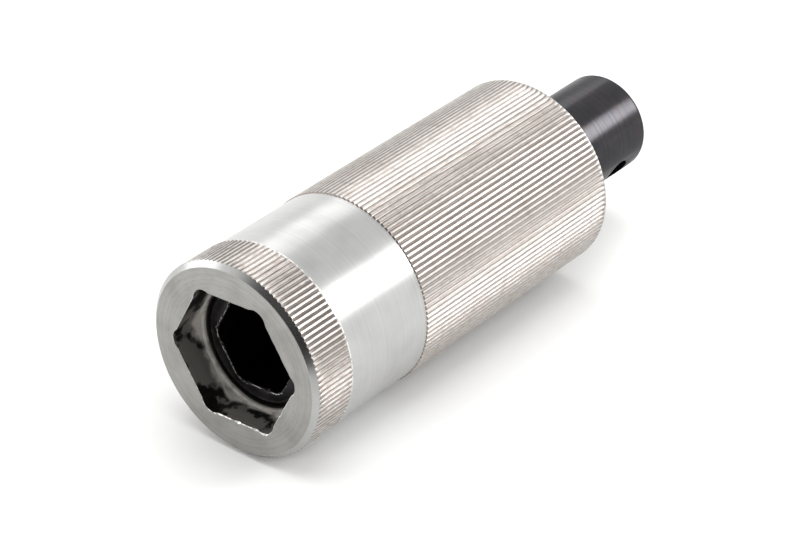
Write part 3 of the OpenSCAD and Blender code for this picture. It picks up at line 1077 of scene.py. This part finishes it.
@dataclass
class Spindle:
    """What turns: the inner socket, the drive shaft and the pin that couples them."""

    face: float = 6.0
    socket_radius: float = 11.4
    chamfer: float = 1.0
    edge_cut: float = 0.05
    edge_round: float = 0.06
    flats: float = 16.2
    corner_radius: float = 8.9
    hexagon_turn: float = -2.8
    hexagon_end: float = 18.0
    hexagon_rings: tuple[float, ...] = (14.0, 10.0, 7.4)
    rim_start: float = 0.1
    rim_width: float = 0.12
    chip_width: float = 0.24
    chip_least: float = 0.04
    chip_waves: tuple[tuple[float, float, float], ...] = ((0.7, 5.0, 7.0), (0.5, 16.0, 3.0))
    chip_reach: Span = (0.8, 0.5)
    relief_radius: float = 6.5
    relief_end: float = 21.0
    flange: Span = (26.55, 30.55)
    flange_radius: float = 12.7
    hub_radius: float = 9.7
    hub_end: float = 46.05
    hub_chamfer: float = 0.2
    square: float = 11.1
    square_start: float = 25.0
    pin_radius: float = 1.5
    pin_gap: float = 0.05
    pin_at: float = 38.3
    pin_length: float = 18.8
    pin_bevel: float = 0.3
    pin_sides: int = 64
    bit_spare: float = 2.0
    shaft_bevel: float = 0.12
    tang_margin: float = 0.3
    corners: int = 480

    def build(self) -> list[Piece]:
        """Builds the three pieces.

        Returns:
            The pieces.
        """
        pieces = [self.socket(), self.shaft(), self.pin()]
        for piece, node, slot in zip(
            pieces,
            ("inner_socket", "drive_shaft", "coupling_pin"),
            ("blackened_socket", "blackened_shaft", "pin_steel"),
        ):
            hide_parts(node)
            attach(piece, "spindle")
        return pieces

    def opening(self, angle: float) -> float:
        """Gives the hexagon's radius at an angle, its corners cut round."""
        return min(polygon_radius(6, self.flats, angle - self.hexagon_turn), self.corner_radius)

    def chip(self, angle: float) -> float:
        """Gives the uneven width of the hexagon's chipped rim at an angle."""
        uneven = sum(size * ripple(math.radians(angle), waves, seed) for size, waves, seed in self.chip_waves)
        return max(self.chip_least, self.chip_width + uneven)

    def socket(self) -> Piece:
        """Builds the inner socket, whose hexagon has a burred, chipped rim.

        Returns:
            The piece.
        """
        cut = math.degrees(math.acos(self.flats / 2 / self.corner_radius))
        sharp = [self.hexagon_turn + 60 * side + sign * cut for side in range(6) for sign in (-1, 1)]
        plain = [360 * number / self.corners for number in range(self.corners)]
        shell = RingShell(plain, circle(self.relief_end, self.relief_radius), filled=True)
        shell.turn((self.hexagon_end, self.relief_radius))
        shell.angles = snapped(plain, sharp)
        outline = [self.opening(angle) for angle in shell.angles]
        chips = [self.chip(angle) for angle in shell.angles]
        for along in (self.hexagon_end, *self.hexagon_rings):
            shell.grow(outlined(along, outline))
        inward, outward = self.chip_reach
        rim = [radius + outward * chip for radius, chip in zip(outline, chips)]
        shell.grow(lambda number: (self.face + inward * chips[number], outline[number]))
        shell.grow(outlined(self.face + self.rim_start, rim))
        shell.grow(outlined(self.face, [radius + self.rim_width for radius in rim]), 1)
        shell.angles = plain
        self.grow_body(shell)
        shell.angles = snapped(plain, [45, 135, 225, 315])
        sides = [polygon_radius(4, self.square, angle) for angle in shell.angles]
        shell.grow(outlined(self.hub_end, sides))
        shell.grow(outlined(self.square_start, sides))
        shell.fill_end()
        piece = finished(shell.mesh, "socket_body", [SOCKET_BLACK, RUBBED_EDGE])
        self.drill(piece)
        return piece

    def grow_body(self, shell: RingShell) -> None:
        """Grows the socket's front face and its outside: the chamfer, the flange and the hub.

        Args:
            shell: the socket's wall, which ends at the hexagon's rim.
        """
        near, far = self.flange
        inner, cut, chamfer_end = self.socket_radius - self.chamfer, self.edge_cut, self.face + self.chamfer
        shell.turn(
            (self.face, inner - self.edge_round),
            (self.face + cut, inner + cut),
            (chamfer_end - cut, self.socket_radius - cut),
            (chamfer_end + self.edge_round, self.socket_radius),
            (near, self.socket_radius),
            (near, self.flange_radius),
            (far, self.flange_radius),
            (far, self.hub_radius),
            (self.hub_end - self.hub_chamfer, self.hub_radius),
            (self.hub_end, self.hub_radius - self.hub_chamfer),
        )

    def rod(self, radius: float, length: float, bevel: float) -> Mesh:
        """Turns a rod and stands it upright through the hub.

        Args:
            radius: the rod's radius.
            length: the rod's length.
            bevel: the rounding of its ends.

        Returns:
            The rod's mesh, in millimetres.
        """
        mesh = bmesh.new()
        bmesh.ops.create_cone(
            mesh, cap_ends=True, segments=self.pin_sides, radius1=radius, radius2=radius, depth=length,
            matrix=Matrix.Translation((self.pin_at, 0, 0)),
        )
        if bevel:
            rims = [edge for edge in mesh.edges if edge.calc_face_angle() > math.radians(60)]
            rounded(mesh, rims, bevel, 3)
        return mesh

    def drill(self, piece: Piece) -> None:
        """Drills the pin's hole through the hub.

        Args:
            piece: the inner socket, whose mesh is changed.
        """
        reach = 2 * self.hub_radius + self.bit_spare
        bit = finished(self.rod(self.pin_radius + self.pin_gap, reach, 0.0), "pin_bit", [])
        cut = piece.modifiers.new("pin_hole", "BOOLEAN")
        cut.object, cut.operation, cut.solver = bit, "DIFFERENCE", "EXACT"
        bpy.context.view_layer.update()
        drilled = bpy.data.meshes.new_from_object(piece.evaluated_get(bpy.context.evaluated_depsgraph_get()))
        piece.modifiers.clear()
        old, piece.data = piece.data, drilled
        bpy.data.meshes.remove(old)
        drilled.name = piece.name
        bpy.data.objects.remove(bit)

    def shaft(self) -> Piece:
        """Copies the drive shaft from the CAD and rounds the edges of its round part and its cross hole.

        Returns:
            The piece.
        """
        least = self.hub_radius - self.tang_margin
        mesh = merged_copy(
            "drive_shaft", self.shaft_bevel, lambda edge: all(vert.co.yz.length > least for vert in edge.verts)
        )
        return finished(mesh, "shaft_body", [SHAFT_BLACK])

    def pin(self) -> Piece:
        """Builds the coupling pin, its ends rounded."""
        return finished(self.rod(self.pin_radius, self.pin_length, self.pin_bevel), "dowel_pin", [PIN_STEEL])


def washer(
    name: str, node: str, body: str, span: Span, outer: float, inner: float, bevel: float, finish: Finish, slot: str
) -> Piece:
    """Turns a washer or bush with rounded edges and puts it in its CAD node's place.

    Args:
        name: the piece's name.
        node: the CAD node that it replaces.
        body: the CAD body that it rides on.
        span: where it begins and ends along the tool.
        outer: the outer radius.
        inner: the inner radius.
        bevel: the size of its edges' bevel.
        finish: its finish.
        slot: not used.

    Returns:
        The piece.
    """
    near, far = span
    mesh = bmesh.new()
    verts = [mesh.verts.new((x, 0, -r)) for x, r in ((near, inner), (near, outer), (far, outer), (far, inner))]
    for number, vert in enumerate(verts):
        mesh.edges.new((vert, verts[(number + 1) % len(verts)]))
    for vert in verts:
        rounded(mesh, [vert], bevel, 3, "VERTICES")
    bmesh.ops.spin(
        mesh, geom=mesh.verts[:] + mesh.edges[:], cent=(0, 0, 0), axis=(1, 0, 0), angle=math.tau, steps=TURNED_STEPS,
        use_merge=True,
    )
    bmesh.ops.remove_doubles(mesh, verts=mesh.verts, dist=WELD_MM)
    piece = finished(mesh, name, [finish])
    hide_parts(node)
    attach(piece, body)
    return piece


@dataclass
class Bearings:
    """The two bronze bushes and the two bronze thrust pieces."""

    bore: float = 13.0
    front: Span = (12.0, 25.0)
    front_inner: float = 11.45
    ring: Span = (25.0, 26.5)
    ring_inner: float = 11.7
    thrust: Span = (30.6, 32.1)
    thrust_radius: float = 12.7
    thrust_inner: float = 10.0
    rear: Span = (61.6, 78.6)
    rear_inner: float = 9.75
    bush_bevel: float = 0.4
    ring_bevel: float = 0.15

    def build(self) -> list[Piece]:
        """Builds the four pieces.

        Returns:
            The pieces.
        """
        thick, thin = self.bush_bevel, self.ring_bevel
        carrier = "spring_carrier"
        return [
            washer(*row, BRONZE, "bronze")
            for row in (
                ("front_bush_body", "front_bush", "sleeve", self.front, self.bore, self.front_inner, thick),
                ("thrust_ring_body", "front_thrust_ring", "sleeve", self.ring, self.bore, self.ring_inner, thin),
                ("thrust_washer_body", "thrust_washer", carrier, self.thrust, self.thrust_radius, self.thrust_inner,
                 thin),
                ("rear_bush_body", "rear_bush", "sleeve", self.rear, self.bore, self.rear_inner, thick),
            )
        ]


@dataclass
class SpringPack:
    """The compression spring between its two seats."""

    front_seat: Span = (32.1, 33.6)
    rear_seat: Span = (60.1, 61.6)
    front_seat_radius: float = 12.7
    rear_seat_radius: float = 13.0
    seat_inner: float = 10.0
    seat_bevel: float = 0.12
    wire_radius: float = 1.0
    mean_radius: float = 11.35
    start: float = 33.65
    end: float = 60.05
    dead_pitch: float = 2.45
    coils: float = 7.5
    travel: float = 6.0
    wire_sides: int = 20
    steps_per_coil: int = 48

    def build(self) -> list[Piece]:
        """Builds the three pieces.

        Returns:
            The pieces.
        """
        inner, bevel = self.seat_inner, self.seat_bevel
        return [
            washer("front_seat_body", "front_spring_seat", "spring_carrier", self.front_seat,
                   self.front_seat_radius, inner, bevel, WASHER_STEEL, "washer_steel"),
            self.spring(),
            washer("rear_seat_body", "rear_spring_seat", "sleeve", self.rear_seat, self.rear_seat_radius, inner,
                   bevel, WASHER_STEEL, "washer_steel"),
        ]

    def spring(self) -> Piece:
        """Winds the spring: a dead coil, the live coils and a dead coil.

        Returns:
            The piece.
        """
        mesh = bmesh.new()
        place = Matrix.Translation((self.start + self.wire_radius, 0, -self.mean_radius))
        section = place @ Matrix.Rotation(math.radians(90), 4, "X")
        bmesh.ops.create_circle(
            mesh, cap_ends=True, segments=self.wire_sides, radius=self.wire_radius, matrix=section
        )
        live = self.coils - 2
        live_pitch = (self.end - self.start - 2 * self.wire_radius - 2 * self.dead_pitch) / live
        geom = mesh.faces[:]
        for coils, pitch in ((1.0, self.dead_pitch), (live, live_pitch), (1.0, self.dead_pitch)):
            steps = round(coils * self.steps_per_coil)
            made = bmesh.ops.spin(
                mesh, geom=geom, cent=(0, 0, 0), axis=(1, 0, 0), dvec=(pitch * coils / steps, 0, 0),
                angle=math.tau * coils, steps=steps,
            )
            geom = made["geom_last"]
        bmesh.ops.remove_doubles(mesh, verts=mesh.verts, dist=WELD_MM)
        piece = finished(mesh, "wound_spring", [SPRING_STEEL])
        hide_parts("compression_spring")
        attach(piece, "sleeve")
        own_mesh(piece)
        return piece


@dataclass
class Retainer:
    """The retaining ring at the rear, stamped from spring steel."""

    bevel: float = 0.12

    def build(self) -> list[Piece]:
        """Builds the ring, its stamped edges rounded.

        Returns:
            The piece, in a list.
        """
        piece = finished(merged_copy("retaining_ring", self.bevel, lambda edge: True), "ring_body", [RING_STEEL])
        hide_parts("retaining_ring")
        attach(piece, "sleeve")
        return [piece]


@dataclass(frozen=True)
class Softbox:
    """A soft studio light: where it stands as seen from the tool, its size and how bright its front is."""

    name: str
    azimuth: float
    elevation: float
    width: float
    height: float
    radiance: float
    distance: float = 1.6
    mirrored: bool = True

    def build(self, target: Vector) -> Piece:
        """Puts up the light.

        Args:
            target: the point that it faces.

        Returns:
            The light.
        """
        data = bpy.data.lights.new(self.name, "AREA")
        data.shape, data.size, data.size_y = "RECTANGLE", self.width, self.height
        data.energy = self.radiance * math.pi * self.width * self.height
        lamp = bpy.data.objects.new(self.name, data)
        lamp.location = target + self.distance * heading(self.azimuth, self.elevation)
        lamp.rotation_euler = (target - lamp.location).to_track_quat("-Z", "Y").to_euler()
        lamp.visible_camera = False
        lamp.visible_glossy = self.mirrored
        bpy.context.scene.collection.objects.link(lamp)
        return lamp


def heading(azimuth: float, elevation: float) -> Vector:
    """Gives the direction at an azimuth counted from +X towards +Y and an elevation, in degrees."""
    turn, rise = math.radians(azimuth), math.radians(elevation)
    return Vector((math.cos(turn) * math.cos(rise), math.sin(turn) * math.cos(rise), math.sin(rise)))


@dataclass(frozen=True)
class DimZone:
    """A dim part of the room: its middle, how far it is fully dim, how far it fades out, and how bright it is."""

    azimuth: float
    elevation: float
    inner: float
    outer: float
    radiance: float

    def over(self, tree: Tree, way: Output, light: float | Node) -> Node:
        """Dims the room's light within the zone.

        Args:
            tree: the world's node tree.
            way: the direction that is looked in.
            light: the room's light without this zone, as a number or a node.

        Returns:
            The node that gives the room's light with this zone.
        """
        middle = {0: way, 1: heading(self.azimuth, self.elevation)}
        border = {
            "Value": add(tree, "ShaderNodeVectorMath", middle, operation="DOT_PRODUCT").outputs["Value"],
            "From Min": math.cos(math.radians(self.outer)),
            "From Max": math.cos(math.radians(self.inner)),
        }
        share = add(tree, "ShaderNodeMapRange", border, interpolation_type="SMOOTHSTEP")
        return add(tree, "ShaderNodeMix", {"Factor": share, "A": light, "B": self.radiance})


@dataclass
class Studio:
    """The plain pale table, the soft lights and the camera at the photograph's angle."""

    table_size: float = 6.0
    table_tone: str = "#e0e0df"
    room_light: float = 1.35
    zones: tuple[DimZone, ...] = (
        DimZone(-10.0, 58.0, 12.0, 30.0, 1.12),
        DimZone(180.0, 72.0, 16.0, 36.0, 0.55),
        DimZone(-162.0, 26.0, 26.0, 52.0, 0.1),
    )
    card_azimuth: float = -140.0
    card_distance: float = 0.16
    card_size: Span = (0.3, 0.09)
    card_tone: str = "#1c1c1c"
    camera_place: tuple[float, float, float] = (-297.61, -277.66, 273.96)
    camera_turn: float = -50.99
    camera_tilt: float = 57.90
    lens: float = 129.65
    sensor: float = 36.0
    boxes: tuple[Softbox, ...] = (
        Softbox("right_softbox", -40.0, 27.0, 0.66, 0.6, 10.5),
        Softbox("left_softbox", 108.0, 18.0, 0.7, 0.7, 3.0),
        Softbox("back_softbox", 38.0, 33.0, 0.6, 0.5, 1.95),
        Softbox("overhead_fill", 0.0, 90.0, 2.0, 2.0, 2.8, 2.5, mirrored=False),
        Softbox("mouth_fill", -165.0, 30.0, 0.6, 0.6, 7.0, mirrored=False),
    )

    def build(self) -> None:
        """Builds the table, the black card, the room's light, the softboxes and the camera."""
        self.table()
        self.card()
        self.room()
        low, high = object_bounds()
        for box in self.boxes:
            box.build((low + high) / 2)
        self.camera()

    def sheet(self, name: str, place: Matrix, size: Vector, label: str, tone: str) -> Piece:
        """Adds a flat sheet of matt paper or card.

        Args:
            name: the sheet's name.
            place: where its middle goes and how it is turned.
            size: its size along its own X, Y and Z.
            label: its material's name.
            tone: its colour.

        Returns:
            The sheet, marked as part of the stage.
        """
        mesh = bmesh.new()
        shape = place @ Matrix.Diagonal(size).to_4x4()
        bmesh.ops.create_grid(mesh, x_segments=1, y_segments=1, size=0.5, matrix=shape)
        data = bpy.data.meshes.new(name)
        mesh.to_mesh(data)
        mesh.free()
        made = bpy.data.objects.new(name, data)
        bpy.context.scene.collection.objects.link(made)
        paper = bpy.data.materials.new(label)
        paper.use_nodes = True
        paper.node_tree.nodes.clear()
        shader = add(paper.node_tree, "ShaderNodeBsdfDiffuse", {"Color": linear(tone)})
        add(paper.node_tree, "ShaderNodeOutputMaterial", {"Surface": shader})
        data.materials.append(paper)
        made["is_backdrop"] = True
        return made

    def table(self) -> None:
        """Lays the table, which the tool rests on."""
        place = Matrix.Translation((0, 0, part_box("outer_sleeve")[0].z))
        size = Vector((self.table_size, self.table_size, 1))
        self.sheet("table", place, size, "matt_white_paper", self.table_tone)

    def card(self) -> None:
        """Stands a low black card on the camera's side, which only mirrors show: it darkens the chamfer."""
        way = heading(self.card_azimuth, 0)
        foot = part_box("outer_sleeve")[0].z
        place = Matrix.Translation(way * self.card_distance + Vector((0, 0, foot + self.card_size[1] / 2)))
        turn = way.to_track_quat("Z", "Y").to_matrix().to_4x4()
        size = Vector((*self.card_size, 1))
        card = self.sheet("black_card", place @ turn, size, "matt_black_card", self.card_tone)
        card.visible_camera = card.visible_diffuse = card.visible_shadow = False

    def room(self) -> None:
        """Lights the room evenly, but for its dim zones: the ceiling and the side that the photographer stands on."""
        world = bpy.data.worlds.new("studio_room")
        bpy.context.scene.world = world
        world.use_nodes = True
        tree = world.node_tree
        tree.nodes.clear()
        way = add(tree, "ShaderNodeTexCoord").outputs["Generated"]
        light = self.room_light
        for zone in self.zones:
            light = zone.over(tree, way, light)
        glow = add(tree, "ShaderNodeBackground", {"Color": linear("#ffffff"), "Strength": light})
        add(tree, "ShaderNodeOutputWorld", {"Surface": glow})

    def camera(self) -> None:
        """Sets up the camera."""
        data = bpy.data.cameras.new("camera")
        data.lens, data.sensor_width = self.lens, self.sensor
        camera = bpy.data.objects.new("camera", data)
        camera.location = Vector(self.camera_place) * MM
        camera.rotation_euler = (math.radians(self.camera_tilt), 0.0, math.radians(self.camera_turn))
        bpy.context.scene.collection.objects.link(camera)
        bpy.context.scene.camera = camera
        bpy.context.scene.view_settings.view_transform = "Standard"


def main() -> None:
    """Builds the tool from the outside in, then the studio round it."""
    logging.basicConfig(level=logging.INFO, format="%(name)s %(message)s")
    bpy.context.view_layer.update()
    for part in (KnurledSleeve(), Spindle(), Bearings(), SpringPack(), Retainer()):
        for piece in part.build():
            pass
    Studio().build()


if __name__ == "__main__":
    main()
